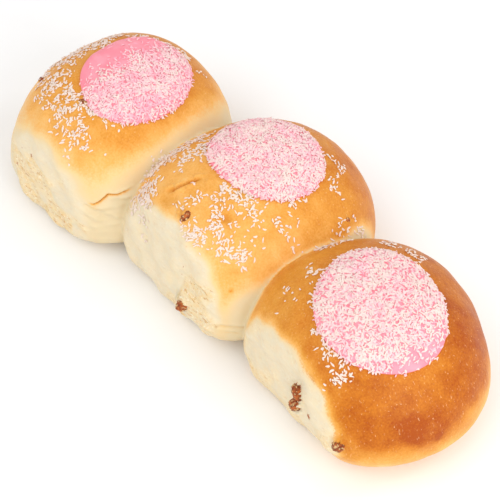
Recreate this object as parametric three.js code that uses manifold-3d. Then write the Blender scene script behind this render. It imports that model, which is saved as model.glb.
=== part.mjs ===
// A row of three raspberry buns, baked against each other and pulled off the batch in one piece.
// Millimetres. X runs along the row, -Y is the side torn from the next row, z = 0 is the flat base.
import * as THREE from "three";
import { mergeVertices } from "three/addons/utils/BufferGeometryUtils.js";
import Module from "manifold-3d";

const wasm = await Module();
wasm.setup();

// ---- driving dimensions ----
const PLAN_POWER = 2.2; // squareness of a bun seen from above
const CROWN_POWER = 2.1; // squareness of the crown seen from the side
const BASE_FLAT = 0.54; // share of the radius that rests flat on the tray
const TORN_EDGE = 3; // rounding where crust turns into the torn side
const TUCK_HEIGHT = 18; // the torn side draws in below this height
const LEAN_HEIGHT = 25; // the torn side leans about this height
const CRAG_DEPTH = 0.8; // unevenness of the torn side
const CRAG_WAVES = [[0.4, 0.25], [-0.2, 0.5]]; // its low waves, in radians a millimetre along x and z
const LIFTED_CORNER = -50; // degrees from +X to the base corner that rose off the tray
const DIP_REACH = 1.35; // the dip under the icing, in icing radii
const GAP = 0.3; // clearance between neighbouring solids
const NORMAL_STEP = 0.5; // either side of a point, to find the slope there

// x, y: centre. ahead, behind, far, near: half widths towards +X, -X, +Y and -Y. turn: degrees about Z.
// waist: height of the widest ring as a share of the height. fullness: power of the crown's fall.
// torn: distance of the torn side from the centre. It leans by lean, and is drawn in at the base by
// tuck, more towards +X by twist. lift: rise of one base corner. dip: depth of the dip under the icing.
// icing: centre, half widths, turn, and three low bulges of its rim, the first at the angle waveAt.
// coconut: patches of stray shreds on the crown, as centre x, y, half widths and number.
const BUNS = [
  {
    name: "1", x: -79.9, y: -8, turn: 0, ahead: 45, behind: 43, far: 46.5, near: 53, height: 63,
    waist: 0.21, fullness: 2.58, torn: 44.4, lean: 0.02, tuck: 0.6, twist: 0.2, lift: 0, dip: 0.6,
    icing: { x: 4.8, y: 4, across: 21.8, along: 25.6, turn: 16, wave: 0, waveAt: 0 },
    coconut: [
      [-22, -20, 7, 9, 8],
      [-20, -5, 5, 7, 5],
      [0, -31, 8, 5, 6],
      [15, -29, 8, 4, 5],
    ],
  },
  {
    name: "2", x: -5.4, y: -2, turn: -4, ahead: 46, behind: 47.5, far: 55, near: 55, height: 60.5,
    waist: 0.25, fullness: 2.45, torn: 41.8, lean: 0.12, tuck: 6.8, twist: 0.5, lift: 2, dip: 0.6,
    icing: { x: -3, y: 11.5, across: 24.5, along: 23, turn: -3, wave: 0.025, waveAt: 0 },
    coconut: [
      [-27, -21, 5, 8, 6],
      [-15, -15, 5, 4, 4],
      [-16, -36, 5, 3, 3],
      [9, -31, 7, 4, 6],
      [25, -24, 7, 4, 6],
      [26, 3, 4, 8, 4],
    ],
  },
  {
    name: "3", x: 71.1, y: -10, turn: -10, ahead: 51.5, behind: 48, far: 50, near: 45, height: 59.5,
    waist: 0.23, fullness: 2.4, torn: 36.3, lean: 0.06, tuck: 6, twist: 1.6, lift: 10, dip: 1.2,
    icing: { x: 6.5, y: 3, across: 28.7, along: 25, turn: -18, wave: 0.022, waveAt: 50 },
    coconut: [
      [-21, -15, 4, 5, 5],
      [10, -27, 12, 3, 7],
      [25, -22, 4, 3, 3],
      [-31, 10, 3, 8, 5],
    ],
  },
];

// Folds and dents in the crust: points on the crown, then the widest and the deepest half size.
const CREASES = [
  { bun: 0, points: [[25.8, -41.6], [30.2, -37], [31.5, -33.7], [35.4, -27.9]], width: 1, depth: 1.6 },
  { bun: 1, points: [[-15.3, -31.2], [-10.9, -23.9], [-6.2, -15.3]], width: 1.4, depth: 0.7 },
  { bun: 1, points: [[9.7, -23.6], [12.6, -20.8], [15.5, -18.1]], width: 1.8, depth: 0.6 },
];

// Sultanas that show. On the crown they lie at x and y, on the torn side at x and at the height z
// that a plain bun has there.
const SULTANAS = [
  { bun: 0, x: 2.6, y: -23.2, length: 4, width: 3, depth: 2.5, turn: 10 },
  { bun: 0, x: -27, y: -22, length: 3.5, width: 3, depth: 2.5, turn: 20 },
  { bun: 1, x: -1.2, y: -32.9, length: 5.5, width: 4.5, depth: 3.5, turn: 80 },
  { bun: 1, x: 33.9, y: 23.9, length: 3, width: 2.5, depth: 2, turn: 30 },
  { bun: 1, x: 11.5, z: 18.3, length: 7, width: 5.5, depth: 5, turn: 50 },
  { bun: 2, x: 9.1, z: 28, length: 8, width: 6.5, depth: 5, turn: 30 },
  { bun: 2, x: 11.7, z: 20.4, length: 5.5, width: 4, depth: 5, turn: 75 },
  { bun: 2, x: 34.8, z: 20, length: 6, width: 5, depth: 4, turn: 20 },
];

const SULTANA_SUNK = 0.28; // its middle lies this share of its depth under the surface
const SULTANA_WRINKLE = 0.1;
const SULTANA_FOLDS = 4;
const SULTANA_TWIST = 2; // radians that its folds turn over half its length
const ICING_THICKNESS = 2.2;
const ICING_RIM = 0.15; // share of the thickness that stands at its edge
const ICING_ROUND = 5; // power of its fall towards the edge
const ICING_UNDER_REACH = 0.97; // its underside ends at this share of the disc
const SHRED_LENGTH = [2.2, 4];
const SHRED_WIDTH = [0.8, 1.2];
const SHRED_THICKNESS = 0.7;
const SHRED_BEND = 0.4;
const SHRED_SLIM = 0.5; // share of its width lost at its ends
const SHRED_TIP = 16; // degrees, the whole range that it tips out of the surface
const SHRED_STRAY = 0.6; // radians that one on the icing strays from its place round the disc
const SHRED_SUNK = 0.25;
const ICING_SHREDS = 25; // fused to each disc of icing
const ICING_SHRED_REACH = 0.9; // they stay inside this share of the disc

// ---- mesh fineness ----
const AROUND = 36;
const BASE_RINGS = 4;
const CROWN_RINGS = 13;
const ICING_AROUND = 32;
const ICING_TOP_RINGS = 7;
const ICING_UNDER_RINGS = 4;
const CREASE_STEPS = 8;
const CREASE_SIDES = 5;

const GOLDEN_ANGLE = Math.PI * (3 - Math.sqrt(5));
const rad = THREE.MathUtils.degToRad;

// Numbers from 0 to 1, the same on each run.
function seededRandom(seed) {
  let state = seed;
  return () => {
    state = (Math.imul(state, 1664525) + 1013904223) >>> 0;
    return state / 4294967296;
  };
}

// ---- form of one bun, in its own frame ----
function planRadius(bun, angle) {
  const c = Math.cos(angle);
  const s = Math.sin(angle);
  const halfX = c > 0 ? bun.ahead : bun.behind;
  const halfY = s > 0 ? bun.far : bun.near;
  return (Math.abs(c / halfX) ** PLAN_POWER + Math.abs(s / halfY) ** PLAN_POWER) ** (-1 / PLAN_POWER);
}

function crownHeight(bun, share) {
  const rise = bun.height * (1 - bun.waist);
  const fall = Math.max(0, 1 - share ** bun.fullness);
  return bun.height * bun.waist + rise * fall ** (1 / CROWN_POWER);
}

// Share of its radius that a plain bun reaches at a height.
function widestShare(bun, z) {
  const waist = bun.height * bun.waist;
  if (z < waist) return BASE_FLAT + (1 - BASE_FLAT) * Math.sqrt(1 - (1 - z / waist) ** 2);
  const over = (z - waist) / (bun.height - waist);
  return (1 - over ** CROWN_POWER) ** (1 / bun.fullness);
}

// Low lumps on the torn side, about 15 mm apart.
function crag(bun, x, z) {
  const lumps = CRAG_WAVES.map(([alongX, alongZ], i) => Math.sin(alongX * x + alongZ * z + (i + 1) * bun.x));
  return (CRAG_DEPTH / 2) * (lumps[0] + lumps[1]);
}

// Draws in what would stand past the torn side, with a soft edge.
function tearOff(bun, x, y, z) {
  const tuck = bun.tuck * (1 + (bun.twist * x) / bun.ahead) * Math.max(0, 1 - z / TUCK_HEIGHT) ** 2;
  const limit = crag(bun, x, z) - bun.torn - bun.lean * (LEAN_HEIGHT - z) + tuck;
  const past = y - limit;
  return limit + (past + Math.hypot(past, TORN_EDGE)) / 2;
}

function cornerLift(bun, share, angle, z) {
  const corner = Math.max(0, Math.cos(angle - rad(LIFTED_CORNER))) ** 2;
  const edge = Math.max(0, (share - BASE_FLAT) / (1 - BASE_FLAT)) ** 2;
  return bun.lift * corner * edge * (1 - z / bun.height);
}

function rimWave(icing, angle) {
  return 1 + icing.wave * Math.cos(3 * (angle - rad(icing.waveAt)));
}

// How far out of the icing's middle a place lies: 1 is the icing's rim.
function icingShare(bun, x, y) {
  const { icing } = bun;
  const turn = rad(icing.turn);
  const dx = x - icing.x;
  const dy = y - icing.y;
  const u = (Math.cos(turn) * dx + Math.sin(turn) * dy) / icing.across;
  const v = (Math.cos(turn) * dy - Math.sin(turn) * dx) / icing.along;
  return Math.hypot(u, v) / rimWave(icing, Math.atan2(v, u));
}

function dip(bun, x, y) {
  const share = Math.min(1, icingShare(bun, x, y) / DIP_REACH);
  return bun.dip * (1 - share ** 2) ** 2;
}

// A point at a share of the bun's radius, at the height z that a plain bun has there.
function bunPoint(bun, share, angle, z) {
  const radius = share * planRadius(bun, angle);
  const x = radius * Math.cos(angle);
  const y = radius * Math.sin(angle);
  const onCrown = z > bun.height * bun.waist ? dip(bun, x, y) : 0;
  return new THREE.Vector3(x, tearOff(bun, x, y, z), z + cornerLift(bun, share, angle, z) - onCrown);
}

function crownPoint(bun, x, y) {
  const angle = Math.atan2(y, x);
  const share = Math.hypot(x, y) / planRadius(bun, angle);
  return bunPoint(bun, share, angle, crownHeight(bun, share));
}

function crownNormal(bun, x, y) {
  const alongX = crownPoint(bun, x + NORMAL_STEP, y).sub(crownPoint(bun, x - NORMAL_STEP, y));
  const alongY = crownPoint(bun, x, y + NORMAL_STEP).sub(crownPoint(bun, x, y - NORMAL_STEP));
  return alongX.cross(alongY).normalize();
}

// A point of the torn side, at the height z that a plain bun has there.
function tornPoint(bun, x, z) {
  const share = widestShare(bun, z);
  const halfX = x > 0 ? bun.ahead : bun.behind;
  const side = share ** PLAN_POWER - Math.abs(x / halfX) ** PLAN_POWER;
  return bunPoint(bun, share, Math.atan2(-bun.near * side ** (1 / PLAN_POWER), x), z);
}

function placeBun(bun) {
  const turn = new THREE.Matrix4().makeRotationZ(rad(bun.turn));
  return turn.setPosition(bun.x, bun.y, 0);
}

// True where a point of the row lies inside a bun.
function isInside(bun, point) {
  const own = point.clone().applyMatrix4(placeBun(bun).invert());
  const share = Math.hypot(own.x, own.y) / planRadius(bun, Math.atan2(own.y, own.x));
  return share < 1 && own.z < crownHeight(bun, share);
}

// ---- solids ----
// The first and last entries are single points, and each other entry is a ring of equal length.
function closedFromRings(rings) {
  const points = [];
  const faces = [];
  const start = rings.map((ring) => {
    const first = points.length;
    points.push(...ring);
    return first;
  });
  const count = rings[1].length;
  const pair = (j, i) => (rings[j].length === 1
    ? [start[j], start[j]]
    : [start[j] + i, start[j] + ((i + 1) % count)]);
  for (let j = 0; j < rings.length - 1; j++) {
    for (let i = 0; i < count; i++) {
      const low = pair(j, i);
      const high = pair(j + 1, i);
      if (low[0] !== low[1]) faces.push(low[0], low[1], high[1]);
      if (high[0] !== high[1]) faces.push(low[0], high[1], high[0]);
    }
  }
  const geometry = new THREE.BufferGeometry().setFromPoints(points);
  geometry.setIndex(faces);
  return geometry;
}

function toSolid(geometry) {
  const plain = geometry.clone();
  plain.deleteAttribute("normal");
  plain.deleteAttribute("uv");
  const merged = mergeVertices(plain, 1e-4);
  const mesh = new wasm.Mesh({
    numProp: 3,
    vertProperties: new Float32Array(merged.attributes.position.array),
    triVerts: new Uint32Array(merged.index.array),
  });
  return new wasm.Manifold(mesh);
}

function toGeometry(solid) {
  const mesh = solid.getMesh();
  const geometry = new THREE.BufferGeometry();
  geometry.setAttribute("position", new THREE.BufferAttribute(new Float32Array(mesh.vertProperties), 3));
  geometry.setIndex(new THREE.BufferAttribute(new Uint32Array(mesh.triVerts), 1));
  geometry.computeVertexNormals();
  return geometry;
}

// Stands a geometry's +Z along a surface's normal and moves it to a place.
function standOn(geometry, spot, normal) {
  geometry.applyQuaternion(new THREE.Quaternion().setFromUnitVectors(new THREE.Vector3(0, 0, 1), normal));
  return geometry.translate(spot.x, spot.y, spot.z);
}

// ---- dough ----
function lobe(bun) {
  const ring = (share, z) => Array.from({ length: AROUND }, (_, i) => {
    return bunPoint(bun, share, (2 * Math.PI * i) / AROUND, z);
  });
  const rings = [[new THREE.Vector3(0, 0, 0)], ring(BASE_FLAT, 0)];
  for (let j = 1; j <= BASE_RINGS; j++) {
    const rise = (Math.PI / 2) * (j / BASE_RINGS);
    const share = BASE_FLAT + (1 - BASE_FLAT) * Math.sin(rise);
    rings.push(ring(share, bun.height * bun.waist * (1 - Math.cos(rise))));
  }
  for (let j = 1; j < CROWN_RINGS; j++) {
    const share = Math.cos((Math.PI / 2) * (j / CROWN_RINGS));
    rings.push(ring(share, crownHeight(bun, share)));
  }
  rings.push([crownPoint(bun, 0, 0)]);
  return toSolid(closedFromRings(rings).applyMatrix4(placeBun(bun)));
}

// A spindle along the crown that cuts a fold or a dent.
function creaseCutter(crease) {
  const bun = BUNS[crease.bun];
  const path = new THREE.CatmullRomCurve3(crease.points.map(([x, y]) => crownPoint(bun, x, y)));
  const rings = [[path.getPoint(0)]];
  for (let j = 1; j < CREASE_STEPS; j++) {
    const t = j / CREASE_STEPS;
    const middle = path.getPoint(t);
    const normal = crownNormal(bun, middle.x, middle.y);
    const across = normal.clone().cross(path.getTangent(t)).normalize();
    const size = Math.sqrt(Math.sin(Math.PI * t));
    rings.push(Array.from({ length: CREASE_SIDES }, (_, i) => {
      const angle = (2 * Math.PI * i) / CREASE_SIDES;
      return middle.clone()
        .addScaledVector(across, crease.width * size * Math.cos(angle))
        .addScaledVector(normal, crease.depth * size * Math.sin(angle));
    }));
  }
  rings.push([path.getPoint(1)]);
  return toSolid(closedFromRings(rings).applyMatrix4(placeBun(bun)));
}

// ---- sultanas ----
function sultanaPlace(sultana) {
  const bun = BUNS[sultana.bun];
  if (sultana.z === undefined) {
    return [crownPoint(bun, sultana.x, sultana.y), crownNormal(bun, sultana.x, sultana.y)];
  }
  const { x, z } = sultana;
  const alongX = tornPoint(bun, x + NORMAL_STEP, z).sub(tornPoint(bun, x - NORMAL_STEP, z));
  const alongZ = tornPoint(bun, x, z + NORMAL_STEP).sub(tornPoint(bun, x, z - NORMAL_STEP));
  return [tornPoint(bun, x, z), alongX.cross(alongZ).normalize()];
}

// A wrinkled egg. With room it is that much larger all round, to cut its pocket.
function sultanaShape(sultana, room) {
  const shape = new THREE.IcosahedronGeometry(1, 1);
  const spots = shape.attributes.position;
  for (let i = 0; i < spots.count; i++) {
    const angle = Math.atan2(spots.getZ(i), spots.getY(i));
    const fold = Math.sin(SULTANA_FOLDS * angle + SULTANA_TWIST * spots.getX(i));
    const wrinkle = 1 - SULTANA_WRINKLE * (1 + fold);
    spots.setXYZ(i, spots.getX(i), spots.getY(i) * wrinkle, spots.getZ(i) * wrinkle);
  }
  shape.scale(sultana.length / 2 + room, sultana.width / 2 + room, sultana.depth / 2 + room);
  shape.rotateZ(rad(sultana.turn));
  const [spot, normal] = sultanaPlace(sultana);
  const middle = spot.clone().addScaledVector(normal, -SULTANA_SUNK * sultana.depth);
  return standOn(shape, middle, normal).applyMatrix4(placeBun(BUNS[sultana.bun]));
}

// ---- coconut ----
// A flat strip with narrow ends, bent a little, its middle at the origin.
function shred(random) {
  const between = ([low, high]) => low + (high - low) * random();
  const length = between(SHRED_LENGTH);
  const strip = new THREE.BoxGeometry(length, between(SHRED_WIDTH), SHRED_THICKNESS, 2, 1, 1);
  const bend = SHRED_BEND * (2 * random() - 1);
  const spots = strip.attributes.position;
  for (let i = 0; i < spots.count; i++) {
    const along = (2 * spots.getX(i)) / length;
    const slim = 1 - SHRED_SLIM * along * along;
    spots.setY(i, spots.getY(i) * slim + bend * along * along);
    spots.setZ(i, spots.getZ(i) * slim);
  }
  return strip;
}

// Lays a shred on a surface, turned and tipped at random.
function layShred(random, spot, normal) {
  const strip = shred(random);
  strip.rotateY(rad(SHRED_TIP * (random() - 0.5)));
  strip.rotateZ(Math.PI * random());
  const middle = spot.clone().addScaledVector(normal, SHRED_THICKNESS / 2 - SHRED_SUNK);
  return standOn(strip, middle, normal);
}

// Stray shreds keep off the icing, the sultanas, the torn side and what lies inside the next bun.
function hasRoom(bun, x, y) {
  const reach = SHRED_LENGTH[1] / 2 + 2 * GAP;
  const rim = 1 + reach / Math.min(bun.icing.across, bun.icing.along);
  const spot = crownPoint(bun, x, y);
  const inRow = spot.clone().applyMatrix4(placeBun(bun));
  const onSultana = SULTANAS.some((sultana) => {
    const [middle] = sultanaPlace(sultana);
    return BUNS[sultana.bun] === bun && middle.distanceTo(spot) < sultana.length / 2 + reach;
  });
  const inNeighbour = BUNS.some((other) => other !== bun && isInside(other, inRow));
  return icingShare(bun, x, y) > rim && y > reach - bun.torn && !onSultana && !inNeighbour;
}

function strayShreds(bun, random) {
  const strips = [];
  for (const [x, y, reachX, reachY, count] of bun.coconut) {
    for (let i = 0; i < count; i++) {
      const share = Math.sqrt((i + 0.5) / count);
      const angle = i * GOLDEN_ANGLE + x;
      const atX = x + reachX * share * Math.cos(angle) + random();
      const atY = y + reachY * share * Math.sin(angle) + random();
      if (!hasRoom(bun, atX, atY)) continue;
      const strip = layShred(random, crownPoint(bun, atX, atY), crownNormal(bun, atX, atY));
      strips.push(toSolid(strip.applyMatrix4(placeBun(bun))));
    }
  }
  return strips;
}

function doughRow(random) {
  const row = BUNS.map(lobe).reduce((all, next) => all.add(next));
  const cutters = [
    ...CREASES.map(creaseCutter),
    ...SULTANAS.map((sultana) => toSolid(sultanaShape(sultana, GAP))),
  ];
  const carved = cutters.reduce((rest, cutter) => rest.subtract(cutter), row);
  const strips = BUNS.flatMap((bun) => strayShreds(bun, random));
  return strips.reduce((all, strip) => all.add(strip), carved);
}

// ---- icing ----
function icingPlan(bun, share, angle) {
  const { icing } = bun;
  const turn = rad(icing.turn);
  const reach = share * rimWave(icing, angle);
  const u = reach * icing.across * Math.cos(angle);
  const v = reach * icing.along * Math.sin(angle);
  return [
    icing.x + Math.cos(turn) * u - Math.sin(turn) * v,
    icing.y + Math.sin(turn) * u + Math.cos(turn) * v,
  ];
}

function icingPoint(bun, share, angle, above) {
  const [x, y] = icingPlan(bun, share, angle);
  return crownPoint(bun, x, y).addScaledVector(crownNormal(bun, x, y), above);
}

// Height of the icing's top over the crust: full in the middle, rounded at the rim.
function icingTop(share) {
  return GAP + ICING_THICKNESS * (ICING_RIM + (1 - ICING_RIM) * Math.sqrt(1 - share ** ICING_ROUND));
}

function icingDisc(bun, random) {
  const ring = (share, above) => Array.from({ length: ICING_AROUND }, (_, i) => {
    return icingPoint(bun, share, (2 * Math.PI * i) / ICING_AROUND, above);
  });
  const rings = [[icingPoint(bun, 0, 0, GAP)]];
  for (let j = 1; j <= ICING_UNDER_RINGS; j++) {
    rings.push(ring((ICING_UNDER_REACH * j) / ICING_UNDER_RINGS, GAP));
  }
  for (let j = 0; j < ICING_TOP_RINGS; j++) {
    const share = Math.cos((Math.PI / 2) * (j / ICING_TOP_RINGS));
    rings.push(ring(share, icingTop(share)));
  }
  rings.push([icingPoint(bun, 0, 0, icingTop(0))]);
  let disc = toSolid(closedFromRings(rings));
  for (let i = 0; i < ICING_SHREDS; i++) {
    const share = ICING_SHRED_REACH * Math.sqrt((i + 0.5) / ICING_SHREDS);
    const angle = i * GOLDEN_ANGLE + SHRED_STRAY * random();
    const [x, y] = icingPlan(bun, share, angle);
    const spot = icingPoint(bun, share, angle, icingTop(share));
    disc = disc.add(toSolid(layShred(random, spot, crownNormal(bun, x, y))));
  }
  return disc;
}

// ---- materials and assembly ----
const group = new THREE.Group();

function addPiece(name, geometry, color, roughness) {
  const material = new THREE.MeshStandardMaterial({ color, roughness, metalness: 0 });
  const piece = new THREE.Mesh(geometry, material);
  piece.name = name;
  group.add(piece);
}

addPiece("bun_row", toGeometry(doughRow(seededRandom(5))), 0xd9964a, 0.5);
BUNS.forEach((bun, i) => {
  const disc = toGeometry(icingDisc(bun, seededRandom(11 + i)));
  addPiece(`icing_${bun.name}`, disc.applyMatrix4(placeBun(bun)), 0xf5b5c4, 0.6);
});
SULTANAS.forEach((sultana, i) => {
  addPiece(`sultana_${i + 1}`, sultanaShape(sultana, 0), 0x5a2c14, 0.5);
});

export default group;
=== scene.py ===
import math

import bmesh
import bpy
import numpy as np
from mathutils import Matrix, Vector
from mathutils.bvhtree import BVHTree


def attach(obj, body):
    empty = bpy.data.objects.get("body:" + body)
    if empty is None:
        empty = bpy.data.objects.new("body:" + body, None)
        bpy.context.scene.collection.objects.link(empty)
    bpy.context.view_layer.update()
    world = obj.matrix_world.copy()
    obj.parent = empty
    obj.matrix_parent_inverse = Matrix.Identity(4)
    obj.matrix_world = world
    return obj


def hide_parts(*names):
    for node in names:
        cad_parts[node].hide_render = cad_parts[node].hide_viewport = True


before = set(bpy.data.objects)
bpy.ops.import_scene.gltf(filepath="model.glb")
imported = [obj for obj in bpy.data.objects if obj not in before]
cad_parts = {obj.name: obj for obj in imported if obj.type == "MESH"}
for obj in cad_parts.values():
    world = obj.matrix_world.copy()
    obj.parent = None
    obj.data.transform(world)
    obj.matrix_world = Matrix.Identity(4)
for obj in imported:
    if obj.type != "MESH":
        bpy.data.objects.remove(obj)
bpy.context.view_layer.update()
mm = 0.001
print("frame loaded:", len(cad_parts), "nodes")


# camera, fitted to the photo's outline
cameraSettings = {
    "around": 49.0,  # degrees from -Y towards +X
    "up": 50.6,
    "distance": 821,
    "aim": (5.0, -10.5, 25.0),
    "lens": 144.2,
    "sensor": 36,
}


def makeCamera(settings):
    around, up = math.radians(settings["around"]), math.radians(settings["up"])
    back = Vector((math.sin(around) * math.cos(up), -math.cos(around) * math.cos(up), math.sin(up)))
    data = bpy.data.cameras.new("camera")
    data.sensor_width = settings["sensor"]
    data.lens = settings["lens"]
    data.clip_start = 0.01
    made = bpy.data.objects.new("camera", data)
    made.location = (Vector(settings["aim"]) + settings["distance"] * back) * mm
    made.rotation_euler = back.to_track_quat("Z", "Y").to_euler()
    bpy.context.collection.objects.link(made)
    bpy.context.scene.camera = made


makeCamera(cameraSettings)
print("camera made")


def makeMesh(name, points, faces, tags=None, smooth=True):
    mesh = bpy.data.meshes.new(name)
    mesh.from_pydata((np.asarray(points) * mm).tolist(), [], np.asarray(faces, object).tolist())
    for tag, values in (tags or {}).items():
        mesh.attributes.new(tag, "FLOAT", "POINT").data.foreach_set("value", values.astype(np.float32))
    mesh.polygons.foreach_set("use_smooth", [smooth] * len(mesh.polygons))
    made = bpy.data.objects.new(name, mesh)
    bpy.context.collection.objects.link(made)
    return made


def lumps(points, size, seed, waves=28):
    # smooth noise of about -2 to 2, with lumps as large as size
    random = np.random.default_rng(seed)
    heading = random.normal(size=(waves, 3))
    heading /= np.linalg.norm(heading, axis=1)[:, None]
    length = 2 * size * random.uniform(0.75, 1.5, waves)
    wave = 2 * math.pi * heading / length[:, None]
    shift = random.uniform(0, 2 * math.pi, waves)
    return np.sin(points @ wave.T + shift).sum(axis=1) * math.sqrt(2 / waves)


def swell(points, depth, size, seed):
    return depth * lumps(points, size, seed)


def ease(value, low, high):
    share = np.clip((value - low) / (high - low), 0, 1)
    return share * share * (3 - 2 * share)


# form of a bun, in its own frame
bunForm = {
    "planPower": 2.2,
    "crownPower": 2.1,
    "baseFlat": 0.54,
    "tornEdge": 3,
    "tuckHeight": 18,
    "leanHeight": 25,
    "cragDepth": 0.8,
    "cragWaves": ((0.4, 0.25), (-0.2, 0.5)),  # radians a millimetre along x and z
    "liftedCorner": -50,  # degrees from +X to the base corner that rose off the tray
    "dipReach": 1.35,  # the dip under the icing, in icing radii
}

# x, y: centre. ahead, behind, far, near: half widths towards +X, -X, +Y and -Y. turn: degrees about Z.
# waist: height of the widest ring as a share of the height. fullness: power of the crown's fall.
# torn: distance of the torn side from the centre. It leans by lean, and is drawn in at the base by
# tuck, more towards +X by twist. lift: rise of one base corner. dip: depth of the dip under the icing.
# icing: centre, half widths across and along, turn, and three low bulges of its rim, from waveAt.
buns = [
    {
        "x": -79.9, "y": -8, "turn": 0, "ahead": 45, "behind": 43, "far": 46.5, "near": 53, "height": 63,
        "waist": 0.21, "fullness": 2.58, "torn": 44.4, "lean": 0.02, "tuck": 0.6, "twist": 0.2, "lift": 0,
        "dip": 0.6, "icingX": 4.8, "icingY": 4, "across": 21.8, "along": 25.6, "icingTurn": 16,
        "wave": 0, "waveAt": 0,
    },
    {
        "x": -5.4, "y": -2, "turn": -4, "ahead": 46, "behind": 47.5, "far": 55, "near": 55, "height": 60.5,
        "waist": 0.25, "fullness": 2.45, "torn": 41.8, "lean": 0.12, "tuck": 6.8, "twist": 0.5, "lift": 2,
        "dip": 0.6, "icingX": -3, "icingY": 11.5, "across": 24.5, "along": 23, "icingTurn": -3,
        "wave": 0.025, "waveAt": 0,
    },
    {
        "x": 71.1, "y": -10, "turn": -10, "ahead": 51.5, "behind": 48, "far": 50, "near": 45,
        "height": 59.5, "waist": 0.23, "fullness": 2.4, "torn": 36.3, "lean": 0.06, "tuck": 6,
        "twist": 1.6, "lift": 10, "dip": 1.2, "icingX": 6.5, "icingY": 3, "across": 28.7, "along": 25,
        "icingTurn": -18, "wave": 0.022, "waveAt": 50,
    },
]


def toRow(bun, points):
    turn = math.radians(bun["turn"])
    x, y, z = points.T
    return np.stack([
        bun["x"] + math.cos(turn) * x - math.sin(turn) * y,
        bun["y"] + math.sin(turn) * x + math.cos(turn) * y,
        z,
    ], axis=1)


def toBun(bun, points):
    turn = math.radians(bun["turn"])
    x, y, z = points[:, 0] - bun["x"], points[:, 1] - bun["y"], points[:, 2]
    return np.stack([
        math.cos(turn) * x + math.sin(turn) * y,
        math.cos(turn) * y - math.sin(turn) * x,
        z,
    ], axis=1)


def planRadius(bun, angle):
    c, s = np.cos(angle), np.sin(angle)
    halfX = np.where(c > 0, bun["ahead"], bun["behind"])
    halfY = np.where(s > 0, bun["far"], bun["near"])
    power = bunForm["planPower"]
    return (np.abs(c / halfX) ** power + np.abs(s / halfY) ** power) ** (-1 / power)


def crownHeight(bun, share):
    rise = bun["height"] * (1 - bun["waist"])
    fall = np.maximum(0, 1 - share ** bun["fullness"])
    return bun["height"] * bun["waist"] + rise * fall ** (1 / bunForm["crownPower"])


def widestShare(bun, z):
    # share of the plan radius that the bun reaches at a height
    waist = bun["height"] * bun["waist"]
    over = np.clip((z - waist) / (bun["height"] - waist), 0, 1)
    crown = (1 - over ** bunForm["crownPower"]) ** (1 / bun["fullness"])
    under = np.clip(1 - z / waist, 0, 1)
    base = bunForm["baseFlat"] + (1 - bunForm["baseFlat"]) * np.sqrt(1 - under ** 2)
    return np.where(z > waist, crown, base)


def tornLimit(bun, x, z):
    crag = sum(
        np.sin(alongX * x + alongZ * z + (i + 1) * bun["x"])
        for i, (alongX, alongZ) in enumerate(bunForm["cragWaves"])
    )
    low = np.maximum(0, 1 - z / bunForm["tuckHeight"]) ** 2
    tuck = bun["tuck"] * (1 + bun["twist"] * x / bun["ahead"]) * low
    lean = bun["lean"] * (bunForm["leanHeight"] - z)
    return bunForm["cragDepth"] / 2 * crag - bun["torn"] - lean + tuck


def tearOff(bun, x, y, z):
    limit = tornLimit(bun, x, z)
    past = y - limit
    return limit + (past + np.hypot(past, bunForm["tornEdge"])) / 2


def cornerLift(bun, share, angle, z):
    corner = np.maximum(0, np.cos(angle - math.radians(bunForm["liftedCorner"]))) ** 2
    edge = np.maximum(0, (share - bunForm["baseFlat"]) / (1 - bunForm["baseFlat"])) ** 2
    return bun["lift"] * corner * edge * (1 - z / bun["height"])


def rimWave(bun, angle):
    return 1 + bun["wave"] * np.cos(3 * (angle - math.radians(bun["waveAt"])))


def icingShare(bun, x, y):
    turn = math.radians(bun["icingTurn"])
    dx, dy = x - bun["icingX"], y - bun["icingY"]
    u = (math.cos(turn) * dx + math.sin(turn) * dy) / bun["across"]
    v = (math.cos(turn) * dy - math.sin(turn) * dx) / bun["along"]
    return np.hypot(u, v) / rimWave(bun, np.arctan2(v, u))


def bunPoint(bun, share, angle, z):
    radius = share * planRadius(bun, angle)
    x, y = radius * np.cos(angle), radius * np.sin(angle)
    spread = np.minimum(1, icingShare(bun, x, y) / bunForm["dipReach"])
    dip = np.where(z > bun["height"] * bun["waist"], bun["dip"] * (1 - spread ** 2) ** 2, 0)
    return np.stack([x, tearOff(bun, x, y, z), z + cornerLift(bun, share, angle, z) - dip], axis=-1)


def crownPoint(bun, x, y):
    angle = np.arctan2(y, x)
    share = np.hypot(x, y) / planRadius(bun, angle)
    return bunPoint(bun, share, angle, crownHeight(bun, share))


def tornPoint(bun, x, z):
    # a point of the torn side, at the height z that a plain bun has there
    share = widestShare(bun, z)
    halfX = np.where(x > 0, bun["ahead"], bun["behind"])
    power = bunForm["planPower"]
    y = -bun["near"] * (share ** power - np.abs(x / halfX) ** power) ** (1 / power)
    return bunPoint(bun, share, np.arctan2(y, x), z)


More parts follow.
